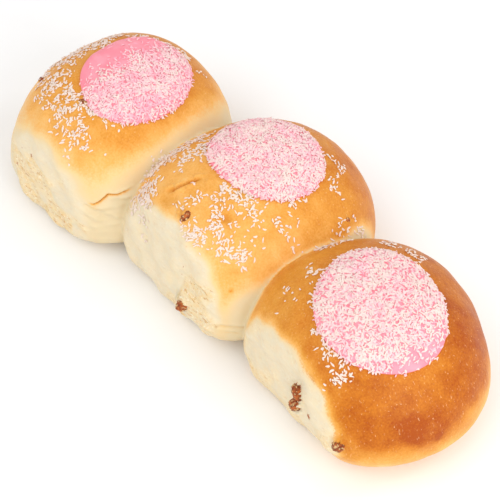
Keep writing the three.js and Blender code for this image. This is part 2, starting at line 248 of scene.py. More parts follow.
# Where the sultanas lie: on the crown at x and y of their bun, on the torn side at x and at the height z
# that a plain bun has there. sunk: share of its depth that its middle lies under the dough's surface.
sultanas = [
    {"bun": 0, "x": 2.6, "y": -23.2, "length": 4, "width": 3, "depth": 2.5, "sunk": 0.4, "turn": 10},
    {"bun": 0, "x": -27, "y": -22, "length": 3.5, "width": 3, "depth": 2.5, "sunk": 0.32, "turn": 20},
    {"bun": 1, "x": -1.2, "y": -32.9, "length": 5.5, "width": 4.5, "depth": 3.5, "sunk": 0.74, "turn": 80},
    {"bun": 1, "x": 33.9, "y": 23.9, "length": 3, "width": 2.5, "depth": 2, "sunk": 0.42, "turn": 30},
    {"bun": 1, "x": 11.5, "z": 18.3, "length": 7, "width": 5.5, "depth": 5, "sunk": 0.42, "turn": 50},
    {"bun": 2, "x": 9.1, "z": 28, "length": 8, "width": 6.5, "depth": 5, "sunk": 0.24, "turn": 30},
    {"bun": 2, "x": 11.7, "z": 20.4, "length": 5.5, "width": 4, "depth": 5, "sunk": 0.24, "turn": 75},
    {"bun": 2, "x": 34.8, "z": 20, "length": 6, "width": 5, "depth": 4, "sunk": 0.3, "turn": 20},
]


def sultanaSpot(sultana):
    bun = buns[sultana["bun"]]
    x = np.array([float(sultana["x"])])
    if "z" in sultana:
        return toRow(bun, tornPoint(bun, x, np.array([float(sultana["z"])])))[0]
    return toRow(bun, crownPoint(bun, x, np.array([float(sultana["y"])])))[0]


doughSettings = {
    "around": 180,
    "flatRings": 4,
    "baseRings": 16,
    "crownRings": 80,
    "voxel": 0.7,
    "relax": (0.5, -0.52),  # evens the mesh out, then makes up for what it shrank
    "relaxSteps": 3,
    # swells: height, size and seed
    "crustSwell": (0.32, 20, 11),
    "crustRipple": (0.08, 5, 12),
    "tornSwell": (0.36, 7, 13),
    "crumbLumps": ((0.34, 3.6, 14), (0.26, 1.7, 15)),
    "smoothCrumb": 0.25,  # share of these lumps that smooth crumb has
    "fibre": (0.4, 1, 1),  # crumb is drawn out along the row
    "torn": (0.7, 3.1),  # how far from the tear plane the crumb gives way to crust
    "fray": (0.14, 5, 3),
    "fineFray": (0.08, 1.5, 4),
    "ragged": (0.7, 9, 5),  # patches of rough crumb, more of them low down
    "raggedAtFoot": 1.6,
    "raggedFade": 20,  # mm of height that take one away
    "raggedRange": (0.1, 1.3),  # from smooth to rough
    "roughens": (2.4, 0.6),  # how strongly, and its balance between the two ends of a bun
    "roughensOver": (-6, 18),
    "baseEdge": 2.5,  # relief fades out below this height
    "underside": 0.4,  # what lies below this height rests on the tray
    "undersideBake": 0.62,
}

overSultana = {  # the crumb that closes over each of them in patches
    "height": 1.9,
    "size": 0.95,
    "patches": (-0.2, 0.4),  # from none to the full height
    "reach": 1.15,  # in half lengths of the sultana
    "fullDepth": 5,  # depth of a sultana that has the whole height
    "onCrust": 0.6,  # share of the height
    "seed": 126,
}

bakeForm = {
    "crownFrom": (26, 60),  # heights between which a side becomes crown
    "besideBun": (-1, 0.8),  # where a pale band beside a bun starts, and the power of its fade
    "besideTorn": (0.8, 1.5, 0.7),  # where the one beside the torn side starts, its least width, its power
    # swells: depth, size and seed
    "footSwell": (1.5, 9, 21),
    "seamSwell": (1, 7, 27),
    "seamTop": (34, 42),  # heights where the pale dough in a seam ends
    "mottle": (0.022, 13, 22),
    "fineMottle": (0.018, 4, 23),
    "mottleFrom": 3,  # raw dough has none, and has it all once it is a third baked
    "patchSwell": (0.15, 5, 24),
}

# How brown each bun is, from 0, raw dough, to 1, dark crust.
# crown: on its crown. fall: share lost down its sides. back, along: gained towards +Y and towards +X.
# behind, ahead, torn: width of its pale bands beside the bun before it, the next bun and the torn side.
# foot, lost: the heights where its pale foot ends, and the share lost there.
# seam: how far the pale dough between two buns reaches.
# coarse: how coarse its torn crumb is, and how much it roughens towards the bun ahead.
bakes = [
    {
        "crown": 0.64, "fall": 0.6, "back": 0.16, "along": 0, "behind": 5, "ahead": 25, "torn": 5.5,
        "foot": (0, 16), "lost": 0.65, "seam": (4, 15), "coarse": (1, 0),
    },
    {
        "crown": 0.56, "fall": 0.1, "back": 0.26, "along": 0, "behind": 3, "ahead": 4, "torn": 4,
        "foot": (0, 24), "lost": 0.65, "seam": (4, 15), "coarse": (0.8, 1),
    },
    {
        "crown": 0.76, "fall": 0, "back": 0.1, "along": 0.16, "behind": 1.5, "ahead": 4, "torn": 4,
        "foot": (10, 32), "lost": 0.58, "seam": (1, 7), "coarse": (0.4, 0),
    },
]

# Darker and lighter patches: bun, place in its own frame, radius and how much browner. Some lighter
# ones are painted highlights, where the crust's sheen falls.
bakePatchesAndSheen = [
    (2, (48, -7.4, 33.9), 7, 0.2),
    # painted highlights: the sheen in and below the dip right of the third icing
    (2, (32, 15, 49), 6, -0.08),
    (2, (35, 4, 48), 8, -0.12),
    (2, (51, 2, 25), 2.5, 0.3),
    (2, (18.5, 27.4, 51), 9, 0.12),
    (1, (9, 42, 45), 11, 0.1),
    # painted highlight: a pale sheen low on the middle bun's crown, towards the third bun
    (1, (33, -4, 49.6), 7, -0.1),
    (0, (-6, -36, 53), 8, -0.05),
    (1, (-31, -12, 52), 1.2, 0.4),
    (2, (30, -26, 40), 14, 0.07),
    (1, (12.6, -20.8, 56), 3.5, 0.08),
    (1, (-6, -24, 56), 5, 0.07),
    (0, (25, -16, 52), 9, 0.08),
    (1, (1, -33, 52.5), 3.5, 0.2),  # beside a sultana
    (1, (-11, -33.5, 52), 4, 0.1),
    (1, (32, -33, 38.4), 0.9, 0.35),
    (2, (19.9, -35.8, 28.8), 1.6, 0.5),  # a stain beside the sultanas
    (0, (-8, -43.5, 35.2), 1.6, 0.4),  # and smaller ones in the crumb
    (0, (-13.8, -43.9, 35), 1.1, 0.36),
    (0, (-18.8, -44.3, 21.6), 1.3, 0.34),
    (1, (4.5, -39.8, 42.2), 0.9, 0.4),
    (1, (9.9, -38.6, 48.5), 0.9, 0.36),
    (1, (9.3, -40, 36.3), 0.9, 0.4),
    (1, (8.7, -40.3, 30.8), 1.1, 0.42),
]

foldForm = {
    "ends": 4,  # it fades out over this length
    "lip": (2, 1.5),  # the lip's distance and half width, in half widths of the fold
    "below": (0.2, 2.5),  # how far under it the pale dough sets in
    "crumple": (0.6, 3, 25),  # depth, size and seed
    "crumpled": (0.7, 0.7, 1.8),  # its creases lie level
}

# Folds in the crust: bun, half width, depth, height of the lip over it, how much darker its groove is
# painted (browner crust in the crease, and painted shade), how far the pale, crumpled dough reaches below
# it, then points on the bun's crown, or with their height on its side.
folds = [
    (0, 0.42, 1.3, 0.6, 0.72, 14, [
        (25.8, -41.6), (28.3, -39.8), (30.2, -37), (31.5, -33.7), (33.8, -30.7), (36.4, -24.2),
    ]),
    (0, 0.5, 0.5, 0.2, 0.2, 0, [(24.1, -43.3), (27.9, -40.8), (31.7, -36.8)]),
    (1, 0.8, 1.2, 0.7, 0.3, 0, [(-15.3, -31.2), (-12.9, -28), (-10.9, -23.9), (-9.4, -20.3), (-7.4, -17)]),
    (1, 2.6, 0.8, 0, 0.06, 0, [(-17, -34), (-11, -32.5), (-7, -28)]),
    (1, 0.5, 0.6, 0.2, 0.4, 0, [(-7.6, -33), (-7.2, -31.4), (-5.6, -30)]),
    (1, 1.7, 0.8, 0, 0.15, 0, [(10.9, -25), (13.3, -22.2), (15.7, -19.4)]),
    (2, 0.9, 0.3, 0.2, 0.05, 0, [(14, -20), (19, -21), (26, -17)]),
    (2, 0.9, 0.25, 0.2, 0.05, 0, [(17, -25), (24, -24), (30, -19)]),
    (1, 0.7, 0.8, 0.5, 0.1, 0, [(27, -42, 21), (34.8, -38.2, 22.2), (38.8, -32.4, 21), (40, -28, 22)]),
    (1, 0.5, 0.6, 0.3, 0.14, 0, [(32, -40, 18.8), (36.5, -36.2, 18.4), (39, -32, 17.2)]),
]


def lobeMesh(bun, settings):
    angle = np.linspace(0, 2 * math.pi, settings["around"], endpoint=False)
    waist = bun["height"] * bun["waist"]
    flat = bunForm["baseFlat"]
    rings = [(flat * j / settings["flatRings"], 0) for j in range(1, settings["flatRings"] + 1)]
    for j in range(1, settings["baseRings"] + 1):
        rise = math.pi / 2 * j / settings["baseRings"]
        rings.append((flat + (1 - flat) * math.sin(rise), waist * (1 - math.cos(rise))))
    for j in range(1, settings["crownRings"]):
        share = math.cos(math.pi / 2 * j / settings["crownRings"])
        rings.append((share, float(crownHeight(bun, np.float64(share)))))
    points = [
        bunPoint(bun, np.full_like(angle, share), angle, np.full_like(angle, z)) for share, z in rings
    ]
    ends = np.array([[0, 0, 0], crownPoint(bun, np.float64(0), np.float64(0))])
    count = settings["around"]
    ring = np.arange(count)
    after = np.roll(ring, -1)
    faces = []
    for j in range(len(rings) - 1):
        low, high = j * count, (j + 1) * count
        faces += np.stack([low + ring, low + after, high + after, high + ring], axis=1).tolist()
    last = (len(rings) - 1) * count
    bottom, top = len(rings) * count, len(rings) * count + 1
    faces += [[bottom, b, a] for a, b in zip(ring.tolist(), after.tolist())]
    faces += [[last + a, last + b, top] for a, b in zip(ring.tolist(), after.tolist())]
    return toRow(bun, np.concatenate(points + [ends])), faces


def joinLobes(settings):
    points, faces, start = [], [], 0
    for bun in buns:
        spots, sides = lobeMesh(bun, settings)
        points.append(spots)
        faces += [[start + corner for corner in side] for side in sides]
        start += len(spots)
    made = makeMesh("lobes", np.concatenate(points), faces)
    remesh = made.modifiers.new("join", "REMESH")
    remesh.mode = "VOXEL"
    remesh.voxel_size = settings["voxel"] * mm
    joined = bpy.data.meshes.new_from_object(made.evaluated_get(bpy.context.evaluated_depsgraph_get()))
    bpy.data.objects.remove(made)
    spots = np.empty(len(joined.vertices) * 3)
    joined.vertices.foreach_get("co", spots)
    quads = np.empty(len(joined.loops), int)
    joined.loops.foreach_get("vertex_index", quads)
    return spots.reshape(-1, 3) / mm, quads.reshape(-1, 4)


def vertexNormals(points, quads):
    corner = points[quads]
    facing = np.cross(corner[:, 2] - corner[:, 0], corner[:, 3] - corner[:, 1])
    total = np.zeros_like(points)
    for k in range(4):
        for axis in range(3):
            total[:, axis] += np.bincount(quads[:, k], facing[:, axis], len(points))
    return total / np.maximum(np.linalg.norm(total, axis=1), 1e-9)[:, None]


def relax(points, quads, settings):
    # moves each point towards the middle of its neighbours, and back
    start = quads.ravel()
    end = np.roll(quads, -1, axis=1).ravel()
    total = len(points)
    count = np.bincount(start, minlength=total) + np.bincount(end, minlength=total)
    for share in settings["relax"] * settings["relaxSteps"]:
        mean = np.stack([
            np.bincount(start, points[end, axis], total) + np.bincount(end, points[start, axis], total)
            for axis in range(3)
        ], axis=1) / count[:, None]
        points = points + share * (mean - points)
    return points


def outsideBy(bun, points):
    # about how far points of the row lie outside a bun, in mm
    x, y, z = toBun(bun, points).T
    angle = np.arctan2(y, x)
    radius = planRadius(bun, angle)
    side = np.hypot(x, y) - radius * widestShare(bun, z)
    return np.maximum(side, tornLimit(bun, x, z) - y)


def nearFold(points, bun, knots):
    # distance to a fold, how far over it a point lies, and how far inside its ends from 0 to 1
    path = toRow(bun, knots if knots.shape[1] == 3 else crownPoint(bun, knots[:, 0], knots[:, 1]))
    best = np.full(len(points), 1e9)
    side = np.zeros(len(points))
    for start, end in zip(path[:-1], path[1:]):
        run = end - start
        share = np.clip((points - start) @ run / (run @ run), 0, 1)
        away = points - start - share[:, None] * run
        distance = np.linalg.norm(away, axis=1)
        closer = distance < best
        best = np.where(closer, distance, best)
        side = np.where(closer, away[:, 2], side)
    tip = np.minimum(np.linalg.norm(points - path[0], axis=1), np.linalg.norm(points - path[-1], axis=1))
    return best, side, ease(tip, 0, foldForm["ends"])


# how brown the crust is, with painted highlights where its sheen falls
def howBakedWithSheen(points, owner, gaps, edge, form):
    height = points[:, 2]
    others = np.sort(gaps, axis=1)[:, 1]  # distance to the nearest other bun
    besideBun, bunPower = form["besideBun"]
    besideTorn, leastTorn, tornPower = form["besideTorn"]
    overFoot = height + swell(points, *form["footSwell"])
    overSeam = ease(height + swell(points, *form["seamSwell"]), *form["seamTop"])
    bake = np.zeros(len(points))
    for i, (bun, colour) in enumerate(zip(buns, bakes)):
        x, y = toBun(bun, points).T[:2]
        tone = colour["crown"] * (1 - colour["fall"] * (1 - ease(height, *form["crownFrom"])))
        tone += colour["back"] * y / bun["far"] + colour["along"] * x / bun["ahead"]
        for other, key in ((i - 1, "behind"), (i + 1, "ahead")):
            if 0 <= other < len(buns):
                tone *= ease(gaps[:, other], besideBun, colour[key]) ** bunPower
        tone *= ease(edge, besideTorn, leastTorn + colour["torn"]) ** tornPower
        tone *= 1 - colour["lost"] * (1 - ease(overFoot, *colour["foot"]))
        tone *= 1 - (1 - ease(others, *colour["seam"])) * (1 - overSeam)
        bake = np.where(owner == i, tone, bake)
    mottle = swell(points, *form["mottle"]) + swell(points, *form["fineMottle"])
    bake += mottle * np.minimum(1, form["mottleFrom"] * bake)
    uneven = 1 + swell(points, *form["patchSwell"])
    # patches of browner and paler crust; some of the paler ones are painted highlights
    for number, spot, radius, browningAndPaintedLight in bakePatchesAndSheen:
        middle = toRow(buns[number], np.array([spot], float))[0]
        distance = np.linalg.norm(points - middle, axis=1) * uneven
        bake += browningAndPaintedLight * np.exp(-(distance / radius) ** 2)
    return bake


def pressFolds(points, torn, rise, bake, form):
    # folds cut into the rise of the dough, and darken each groove with browner crust and painted shade
    away, wide = form["lip"]
    strength, size, seed = form["crumple"]
    for number, width, depth, height, browningAndPaintedLight, pale, knots in folds:
        distance, side, inside = nearFold(points, buns[number], np.array(knots, float))
        groove = np.exp(-(distance / width) ** 2) * inside
        lip = np.exp(-((distance - away * width) / (wide * width)) ** 2) * inside * (side > 0)
        rise += height * lip - depth * groove
        if pale:
            crumpled = np.exp(-(distance / pale) ** 2) * ease(-side, *form["below"]) * (1 - torn)
            rise += strength * crumpled * lumps(points * form["crumpled"], size, seed)
            bake *= 1 - crumpled
        # painted shade: the groove is made darker than the crust around it, partly browner crust in the
        # crease
        bake = np.maximum(bake, 0) + browningAndPaintedLight * groove
    return rise, bake


def closeOverSultanas(points, torn, rise, form):
    for number, sultana in enumerate(sultanas):
        reach = form["reach"] * sultana["length"] / 2
        away = np.linalg.norm(points - sultanaSpot(sultana), axis=1) / reach
        patches = ease(lumps(points, form["size"], form["seed"] + number), *form["patches"])
        closed = patches * np.exp(-away ** 4)
        strength = form["onCrust"] + (1 - form["onCrust"]) * torn
        rise += form["height"] * closed * (sultana["depth"] / form["fullDepth"]) * strength
    return rise


def makeDough(settings):
    points, quads = joinLobes(settings)
    points = relax(points, quads, settings)
    gaps = np.stack([outsideBy(bun, points) for bun in buns], axis=1)
    owner = gaps.argmin(axis=1)
    edge, across = np.zeros((2, len(points)))  # distance in from the torn side, and x along its bun
    for i, bun in enumerate(buns):
        x, y, z = toBun(bun, points).T
        edge = np.where(owner == i, y - tornLimit(bun, x, z), edge)
        across = np.where(owner == i, x, across)
    height = points[:, 2]

    frayed = edge + swell(points, *settings["fray"]) + swell(points, *settings["fineFray"])
    torn = 1 - ease(frayed, *settings["torn"])
    coarse, roughens = np.array([colour["coarse"] for colour in bakes])[owner].T
    strength, balance = settings["roughens"]
    ragged = swell(points, *settings["ragged"]) + settings["raggedAtFoot"] - height / settings["raggedFade"]
    ragged += strength * roughens * (ease(across, *settings["roughensOver"]) - balance)
    rough = ease(ragged, *settings["raggedRange"]) * torn * coarse

    crust = swell(points, *settings["crustSwell"])
    crust += swell(points, *settings["crustRipple"])
    crumb = swell(points, *settings["tornSwell"])
    share = settings["smoothCrumb"] + (1 - settings["smoothCrumb"]) * rough
    for depth, size, seed in settings["crumbLumps"]:
        crumb += depth * share * lumps(points * settings["fibre"], size, seed)
    rise = ease(height, 0, settings["baseEdge"]) * (crust * (1 - torn) + crumb * torn)
    bake = howBakedWithSheen(points, owner, gaps, edge, bakeForm)
    rise, bake = pressFolds(points, torn, rise, bake, foldForm)
    rise = closeOverSultanas(points, torn, rise, overSultana)

    points = points + vertexNormals(points, quads) * rise[:, None]
    points[:, 2] = np.maximum(points[:, 2], 0)
    under = height < settings["underside"]
    bake = np.where(under, settings["undersideBake"], np.clip(bake, 0, 1))
    # this tag holds the crust's browning together with painted highlights and painted shade in its folds
    made = makeMesh("doughRow", points, quads, {"torn": torn * ~under, "rough": rough, "bake": bake})
    print("dough:", len(points), "points")
    return made


dough = makeDough(doughSettings)
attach(dough, "root")
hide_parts("bun_row")
doughTree = BVHTree.FromPolygons(
    [v.co / mm for v in dough.data.vertices], [p.vertices[:] for p in dough.data.polygons]
)


castHeight = 100  # over the whole row


def dropOn(tree, points, direction=(0, 0, -1)):
    # where lines along a direction first meet a surface, with its normals; misses come back as nan
    spots, normals = np.full((2, len(points), 3), np.nan)
    for i, start in enumerate(points):
        spot, normal = tree.ray_cast(Vector(start), Vector(direction))[:2]
        if spot is not None:
            spots[i], normals[i] = spot, normal
    return spots, normals


def overCrown(bun, x, y):
    # points high over places in a bun's own frame
    return toRow(bun, np.stack([x, y, np.full_like(x, castHeight)], axis=1))


def onCrown(bun, x, y):
    # the dough's surface below them
    return dropOn(doughTree, overCrown(bun, x, y))


icingSettings = {
    "around": 120,
    "rings": 30,
    "thickness": 2.0,
    "rim": 0.22,  # share of the thickness that stands straight up at the rim
    "rimPower": 6,
    "sunk": 0.8,  # how deep its underside lies in the dough
    "relief": ((0.16, 5, 31), (0.06, 1.6, 41)),  # height, size and first seed of lumps and ripples
    "wobble": (0.005, 0.004, 0.006, 0.006),  # unevenness of the outline, in 2, 3, 4 and 5 waves
}


def icingPlan(bun, share, angle):
    wobble = sum(
        depth * np.cos((k + 2) * angle + (k + 1) * bun["x"])
        for k, depth in enumerate(icingSettings["wobble"])
    )
    turn = math.radians(bun["icingTurn"])
    reach = share * (rimWave(bun, angle) + wobble)
    u = reach * bun["across"] * np.cos(angle)
    v = reach * bun["along"] * np.sin(angle)
    return (
        bun["icingX"] + math.cos(turn) * u - math.sin(turn) * v,
        bun["icingY"] + math.sin(turn) * u + math.cos(turn) * v,
    )


def makeIcing(number, settings):
    bun = buns[number]
    count = settings["around"]
    angle = np.linspace(0, 2 * math.pi, count, endpoint=False)
    shares = np.sin(math.pi / 2 * np.arange(1, settings["rings"] + 1) / settings["rings"])
    share, turn = np.meshgrid(shares, angle, indexing="ij")
    x, y = icingPlan(bun, share.ravel(), turn.ravel())
    x, y = np.append(x, bun["icingX"]), np.append(y, bun["icingY"])
    share = np.append(share.ravel(), 0)
    spots, normals = onCrown(bun, x, y)
    relief = sum(swell(spots, depth, size, seed + number) for depth, size, seed in settings["relief"])
    profile = settings["rim"] + (1 - settings["rim"]) * np.sqrt(1 - share ** settings["rimPower"])
    top = spots + (profile * (settings["thickness"] + relief))[:, None] * normals
    under = spots - settings["sunk"] * normals
    centre = len(share) - 1
    ring = np.arange(count)
    after = np.roll(ring, -1)
    faces = []
    for j in range(len(shares) - 1):
        low, high = j * count, (j + 1) * count
        faces += np.stack([low + ring, high + ring, high + after, low + after], axis=1).tolist()
    faces += [[a, b, centre] for a, b in zip(ring.tolist(), after.tolist())]
    faces = faces + [[corner + centre + 1 for corner in face[::-1]] for face in faces]
    rim = (len(shares) - 1) * count
    other = rim + centre + 1
    faces += [[rim + a, other + a, other + b, rim + b] for a, b in zip(ring.tolist(), after.tolist())]
    made = makeMesh(f"icingDisc{number + 1}", np.concatenate([top, under]), faces)
    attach(made, "root")
    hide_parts(f"icing_{number + 1}")
    return made


icingDiscs = [makeIcing(number, icingSettings) for number in range(len(buns))]
print("icing laid on", len(icingDiscs), "buns")


shredForm = {
    "sections": 4,
    "broken": (0.6, 1.15),  # share of its length that one has
    "curl": 0.7,  # of its bend, out of its own plane
    "propped": 0.4,  # how far a tipped one stands up, of its length
    "bow": 0.35,  # where a bent one lies across its middle line
    "taper": 0.8,  # lost towards its tips
    "ragged": (0.75, 1.15),  # unevenness of its width
    "topWidth": 0.7,
    "sunk": 0.1,
}

icingShreds = {
    "length": (1.1, 2.6),
    "width": (0.55, 0.95),
    "thickness": (0.16, 0.3),
    "bend": 0.12,  # of the length
    "tilt": 7,  # degrees
    "count": 4400,  # on each disc
    "reach": 1.02,  # of the disc
    "stack": 0.35,  # depth of the layer on the icing
    "stackPower": 1.3,  # fewer lie high in it
    "pastRim": 0.4,  # height of those that lie on the crust
    # for each disc: direction of its barer edge, where coconut thins and ends, and the share gone there
    "thin": ((160, -0.1, 0.58, 0.97), (-79, 0.8, 1.05, 0.5), (20, 0.66, 1.0, 0.78)),
    "thinWave": (0.05, 7),  # unevenness of that edge, and its waves round the disc
    "pinkness": (0.8, 0.62, 0.51),  # disc by disc
    # shreds deeper in the layer are pinker: stained by the icing, and also painted pinker as shade tinted
    # by the pink icing
    "whiter": 0.5,  # the top of the layer is whiter
    "tint": (0.1, 5, 65),  # patches: strength, size and seed
    "uneven": 0.14,
    "least": 0.14,
    "seed": 60,
}

strayShreds = {
    "length": (0.9, 2.4),
    "width": (0.54, 1.0),
    "thickness": (0.18, 0.34),
    "bend": 0.08,
    "tilt": 8,
    "clump": 3,  # shreds that fall together
    "spread": 1.1,  # half width of a clump
    "scatter": 0.7,  # of clumps over a trail's half width
    "offIcing": 1.01,  # in icing radii
    "offTorn": 1,
    "stack": 0.3,
    "tone": (0.02, 0.06),  # mean and spread
    "seed": 71,
}

# Stray coconut on the crust: bun, half width of the trail, how many shreds, then points along it.
strayTrails = [
    (0, 4.4, 330, [(-27, -22), (-27, -9), (-26, 2), (-21, 16)]),
    (0, 2, 70, [(-18, 20), (-8, 28), (6, 32)]),
    (0, 4.4, 230, [(-19, -24), (-9, -27), (1, -30), (8, -33)]),
    (0, 3.2, 110, [(-20, -8), (-16, -19), (-5, -22), (4, -23)]),
    (0, 2, 80, [(5, -22), (14, -20), (21, -15)]),
    (0, 3.4, 46, [(5, -29), (14, -32)]),
    (0, 2.4, 14, [(9, -36), (17, -31)]),
    (0, 2, 12, [(6, 32), (15, 30)]),
    (0, 6, 9, [(22, -26), (28, -8)]),
    (1, 2.8, 270, [(-33, -26), (-33, -12), (-31, 3)]),
    (1, 3.2, 250, [(-26, -29), (-28, -37), (-17, -37)]),
    (1, 4, 130, [(-21, -21), (-23, -10), (-26, 0)]),
    (1, 1.8, 70, [(2, -34), (8, -33.5), (15, -32)]),
    (1, 1.6, 70, [(18.5, -29.5), (24, -26.5), (29, -22.5)]),
    (1, 1.6, 32, [(10, -28), (16, -26)]),
    (1, 2, 18, [(19, -33), (26, -28), (30, -20)]),
    (1, 3, 120, [(0, -15), (9, -13), (17, -7)]),
    (1, 4, 56, [(-4, -25), (12, -19)]),
    (1, 6, 70, [(-2, -28), (14, -23), (27, -13)]),
    (1, 2, 22, [(18, 4), (24, 8)]),
    (1, 3.5, 26, [(24, -10), (34, 3)]),
    (1, 2.4, 46, [(6, 35), (13, 36), (19, 33), (23, 25)]),
    (1, 2.4, 12, [(31, 27), (35, 18)]),
    (1, 2, 40, [(38, 16), (38, 30)]),
    (2, 2, 44, [(-24, -9), (-12, -16), (-3, -19)]),
    (2, 2.2, 110, [(-1, -20), (9, -23), (17, -24), (25, -21)]),
    (2, 5, 12, [(-20, -20), (-12, -27)]),
    (2, 1.2, 26, [(20, -27), (24, -26)]),
    (2, 2.2, 50, [(-24, 25), (-16, 29), (-8, 34)]),
    (2, 1.6, 60, [(-37, 2), (-37, 16)]),
]


def shredsFrom(name, spots, normals, random, settings, lift, tone):
    form = shredForm
    count = len(spots)
    sections = np.linspace(-1, 1, form["sections"])
    length = random.uniform(*settings["length"], count) * random.uniform(*form["broken"], count)
    width = random.uniform(*settings["width"], count)
    thickness = random.uniform(*settings["thickness"], count)
    side = np.cross(normals, random.normal(size=(count, 3)))
    side /= np.linalg.norm(side, axis=1)[:, None]
    along = np.cross(side, normals)
    pitch = np.radians(random.normal(0, settings["tilt"], count))
    lean = np.radians(random.normal(0, settings["tilt"], count))
    heading = along * np.cos(pitch)[:, None] + normals * np.sin(pitch)[:, None]
    up = np.cross(heading, side)
    across = side * np.cos(lean)[:, None] + up * np.sin(lean)[:, None]
    up = np.cross(heading, across)
    bend = settings["bend"] * random.normal(0, 1, count) * length
    curl = settings["bend"] * random.normal(0, form["curl"], count) * length
    raised = lift - form["sunk"] + thickness / 2 + form["propped"] * np.abs(np.sin(pitch)) * length
    middle = spots + normals * raised[:, None]
    points = np.empty((count, len(sections), 4, 3))
    for j, share in enumerate(sections):
        bow = share ** 2 - form["bow"]
        centre = middle + heading * (share * length / 2)[:, None]
        centre = centre + across * (bend * bow)[:, None] + up * (curl * bow)[:, None]
        taper = math.sqrt(1 - form["taper"] * share ** 2) * random.uniform(*form["ragged"], count)
        wide = (width / 2 * taper)[:, None] * across
        thick = (thickness / 2 * taper)[:, None] * up
        top = form["topWidth"] * wide
        points[:, j] = np.stack([
            centre - wide - thick, centre + wide - thick, centre + top + thick, centre - top + thick,
        ], axis=1)
    first = 4 * len(sections) * np.arange(count)[:, None]
    faces = []
    for j in range(len(sections) - 1):
        for k in range(4):
            low, high = 4 * j, 4 * (j + 1)
            faces.append(first + [low + k, low + (k + 1) % 4, high + (k + 1) % 4, high + k])
    faces.append(first + [3, 2, 1, 0])
    end = 4 * (len(sections) - 1)
    faces.append(first + [end, end + 1, end + 2, end + 3])
    tones = np.repeat(tone, 4 * len(sections))
    return makeMesh(name, points.reshape(-1, 3), np.concatenate(faces), {"tone": tones}, smooth=False)


def makeIcingCoconut(number, settings):
    bun = buns[number]
    random = np.random.default_rng(settings["seed"] + number)
    share = settings["reach"] * np.sqrt(random.uniform(0, 1, settings["count"]))
    angle = random.uniform(0, 2 * math.pi, settings["count"])
    towards, thin, end, gone = settings["thin"][number]
    depth, waves = settings["thinWave"]
    reach = share * np.cos(angle - math.radians(towards)) + depth * np.sin(waves * angle)
    kept = random.uniform(0, 1, settings["count"]) > gone * ease(reach, thin, end)
    share, angle = share[kept], angle[kept]
    x, y = icingPlan(bun, share, angle)
    tree = BVHTree.FromObject(icingDiscs[number], bpy.context.evaluated_depsgraph_get())
    spots, normals = dropOn(tree, overCrown(bun, x, y) * mm)
    spots /= mm
    missed = np.isnan(spots[:, 0])
    ground, facing = onCrown(bun, x, y)
    spots[missed] = ground[missed] + settings["pastRim"] * facing[missed]
    normals[missed] = facing[missed]
    layer = random.uniform(0, 1, len(spots)) ** settings["stackPower"]
    # deeper shreds get a pinker tone: icing stain, together with painted pink shade between the shreds
    tone = settings["pinkness"][number] - settings["whiter"] * layer + swell(spots, *settings["tint"])
    tone = np.clip(tone + random.normal(0, settings["uneven"], len(spots)), settings["least"], 1)
    lift = settings["stack"] * layer
    made = shredsFrom(f"icingCoconut{number + 1}", spots, normals, random, settings, lift, tone)
    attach(made, "root")
    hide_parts(f"icing_{number + 1}")
    return made


def makeStrayCoconut(settings):
    random = np.random.default_rng(settings["seed"])
    spots, normals = [], []
    for number, halfWidth, count, path in strayTrails:
        bun = buns[number]
        path = np.array(path, float)
        lengths = np.append(0, np.cumsum(np.linalg.norm(np.diff(path, axis=0), axis=1)))
        clumps = max(1, round(count / settings["clump"]))
        clump = random.integers(0, clumps, count)
        along = random.uniform(0, lengths[-1], clumps)[clump]
        places = np.stack([np.interp(along, lengths, path[:, axis]) for axis in range(2)], axis=1)
        places += halfWidth * random.normal(0, settings["scatter"], (clumps, 2))[clump]
        places += settings["spread"] * random.normal(0, 1, (count, 2))
        x, y = places.T
        outside = (icingShare(bun, x, y) > settings["offIcing"]) & (y > settings["offTorn"] - bun["torn"])
        spot, normal = onCrown(bun, x[outside], y[outside])
        spots.append(spot)
        normals.append(normal)
    spots, normals = np.concatenate(spots), np.concatenate(normals)
    lift = random.uniform(0, settings["stack"], len(spots))
    tone = np.clip(random.normal(*settings["tone"], len(spots)), 0, 1)
    made = shredsFrom("strayCoconut", spots, normals, random, settings, lift, tone)
    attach(made, "root")
    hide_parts("bun_row")
    print("stray coconut:", len(spots), "shreds")
    return made


icingCoconut = [makeIcingCoconut(number, icingShreds) for number in range(len(buns))]
strayCoconut = makeStrayCoconut(strayShreds)
print("coconut scattered")


sultanaSettings = {
    "detail": 5,
    "wrinkle": 0.16,
    "ridges": (0.6, 0.42, 80),  # strength, size and first seed, on a sultana 2 across
    "drawnOut": (1, 2.2, 2.2),  # the ridges run along it
    "ridgeShape": (0.7, 0.5),  # power, and what is level
    "dents": (0.35, 0.9, 90),
    "castFrom": 30,
}


def unitBall(detail):
    shape = bmesh.new()
    bmesh.ops.create_icosphere(shape, subdivisions=detail, radius=1)
    shape.verts.index_update()
    points = np.array([v.co for v in shape.verts])
    faces = [[v.index for v in face.verts] for face in shape.faces]
    shape.free()
    return points, faces


